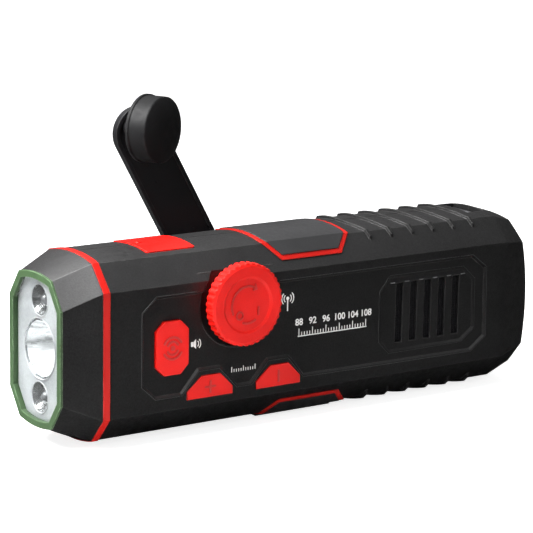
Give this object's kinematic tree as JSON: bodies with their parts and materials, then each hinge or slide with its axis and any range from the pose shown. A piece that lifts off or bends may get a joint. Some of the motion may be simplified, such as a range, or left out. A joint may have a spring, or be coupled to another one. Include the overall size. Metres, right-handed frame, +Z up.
{
  "type": "hand crank torch radio",
  "caption": "Black eight-sided torch radio with red trim, lamp head with green ring, scalloped volume dial, push buttons, speaker slots and a folding hand crank.",
  "frame": {"origin": "centre of the flat sole of the bottom grip pad, which is what the radio stands on", "axes": "+X along the body from the lamp head towards the tail, -Y out of the control side, +Z up"},
  "size_m": [0.2077, 0.0731, 0.1139],
  "materials": {
    "copper_wire": "enamelled",
    "battery_wrap": "shrink wrap",
    "nickel": "plated",
    "grip_rubber": "soft touch",
    "red_trim": "satin",
    "crank_black": "fine matte texture",
    "gear_white": "moulded",
    "steel": "plated",
    "black_shell": "fine matte texture",
    "knob_black": "soft touch",
    "ferrite": "sintered",
    "plate_black": "moulded",
    "gen_case": "plated",
    "magnet": "ground",
    "glow_green": "translucent",
    "black_cloth": "woven",
    "board_green": "solder mask",
    "clear_lens": "clear",
    "red_button": "satin",
    "led_yellow": "smooth",
    "reflector_chrome": "vacuum metallised",
    "led_clear": "smooth",
    "sounder_black": "moulded",
    "basket_steel": "painted",
    "cone_paper": "pulp",
    "switch_body": "moulded",
    "pot_body": "plated"
  },
  "bodies": {
    "radio_body": {"antenna_coil": "copper_wire", "battery_cell": "battery_wrap", "battery_contacts": "nickel", "bottom_grip_pad": "grip_rubber", "bottom_trim_frame": "red_trim", "crank_housing": "black_shell", "ferrite_rod": "ferrite", "front_shell": "black_shell", "gear_plate": "plate_black", "generator_case": "gen_case", "glow_ring": "glow_green", "grille_cloth": "black_cloth", "head_bezel": "black_shell", "head_seal_ring": "red_trim", "idler_axle": "steel", "lamp_switch_board": "board_green", "lanyard_bar": "steel", "led_board": "board_green", "lens": "clear_lens", "main_board": "board_green", "main_led": "led_yellow", "rear_shell": "black_shell", "reflector": "reflector_chrome", "shell_screws": "steel", "side_leds": "led_clear", "siren_sounder": "sounder_black", "speaker_basket": "basket_steel", "speaker_cone": "cone_paper", "speaker_magnet": "magnet", "tact_switches": "switch_body", "top_grip_pad": "grip_rubber", "top_trim_frame": "red_trim", "volume_potentiometer": "pot_body"},
    "crank_rotor": {"crank_hub": "crank_black", "crank_drive_gear": "gear_white", "crank_hinge_pin": "steel"},
    "folding_arm": {"crank_arm": "crank_black", "knob_axle": "steel"},
    "knob": {"crank_knob": "knob_black"},
    "idler": {"idler_gear": "gear_white"},
    "generator_armature": {"generator_rotor": "magnet"},
    "dial": {"volume_dial": "red_button", "dial_shaft": "nickel"},
    "siren_key": {"siren_button": "red_button"},
    "tuning_up_key": {"tuning_up_button": "red_button"},
    "tuning_down_key": {"tuning_down_button": "red_button"},
    "lamp_key": {"light_button": "red_button"}
  },
  "joints": [
    {"name": "crank_spin", "type": "hinge", "parent": "radio_body", "child": "crank_rotor", "pos_m": [0.0007, 0.03, 0.034], "axis": [0, 1, 0], "continuous": true},
    {"name": "crank_fold", "type": "hinge", "parent": "crank_rotor", "child": "folding_arm", "pos_m": [0.0007, 0.042, 0.034], "axis": [-0.8695, 0, -0.4939], "range_deg": [0, 180]},
    {"name": "knob_spin", "type": "hinge", "parent": "folding_arm", "child": "knob", "pos_m": [-0.04004, 0.042, 0.10126], "axis": [0.4067, -0.9135, 0], "continuous": true},
    {"name": "idler_spin", "type": "hinge", "parent": "radio_body", "child": "idler", "pos_m": [-0.0233, 0.012, 0.034], "axis": [0, 1, 0], "continuous": true},
    {"name": "generator_spin", "type": "hinge", "parent": "radio_body", "child": "generator_armature", "pos_m": [-0.0401, 0.01, 0.034], "axis": [0, 1, 0], "continuous": true},
    {"name": "dial_turn", "type": "hinge", "parent": "radio_body", "child": "dial", "pos_m": [-0.034, -0.0245, 0.0472], "axis": [0, 1, 0], "range_deg": [0, 300]},
    {"name": "siren_press", "type": "slide", "parent": "radio_body", "child": "siren_key", "axis": [0, 1, 0], "range_m": [0, 0.001], "stiffness_N_per_m": 1500},
    {"name": "tuning_up_press", "type": "slide", "parent": "radio_body", "child": "tuning_up_key", "axis": [0, 1, 0], "range_m": [0, 0.001], "stiffness_N_per_m": 1500},
    {"name": "tuning_down_press", "type": "slide", "parent": "radio_body", "child": "tuning_down_key", "axis": [0, 1, 0], "range_m": [0, 0.001], "stiffness_N_per_m": 1500},
    {"name": "lamp_press", "type": "slide", "parent": "radio_body", "child": "lamp_key", "axis": [0, 0, -1], "range_m": [0, 0.0008], "stiffness_N_per_m": 1500}
  ],
  "couplings": [
    {"joint": "idler_spin", "follows": "crank_spin", "ratio": -3},
    {"joint": "generator_spin", "follows": "crank_spin", "ratio": 9.6}
  ]
}
